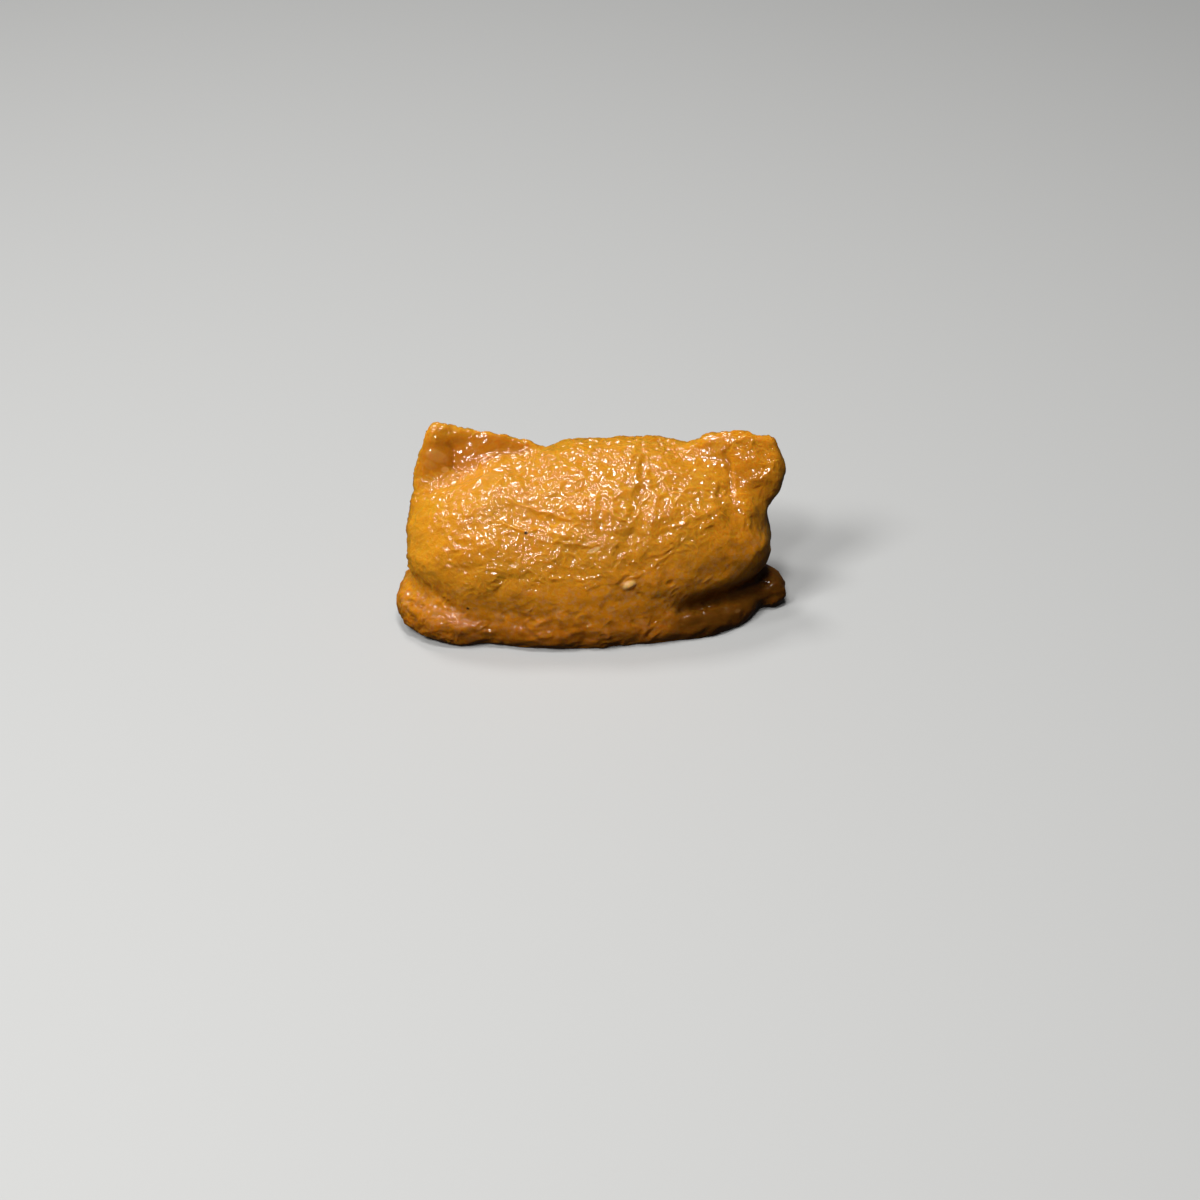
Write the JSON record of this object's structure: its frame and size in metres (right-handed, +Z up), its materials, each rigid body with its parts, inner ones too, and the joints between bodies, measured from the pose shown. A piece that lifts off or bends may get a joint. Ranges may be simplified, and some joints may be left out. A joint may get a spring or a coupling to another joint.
{
  "type": "inari sushi",
  "caption": "Inari sushi: a plump braised fried-tofu pouch stuffed with rice, set down on its folded mouth, with two pinched ears on top and a soft folded heel round its foot.",
  "frame": {"origin": "centre of the footprint's bounding box, on the flat base that it rests on", "axes": "X runs along the pouch, -Y is its front, +Z is up"},
  "size_m": [0.0866, 0.042, 0.0384],
  "materials": {
    "tofu_skin": "golden amber braised fried tofu skin, finely crinkled, wet and glossy with sweet soy broth"
  },
  "bodies": {
    "root": {"tofu_pouch": "tofu_skin"}
  },
  "joints": []
}
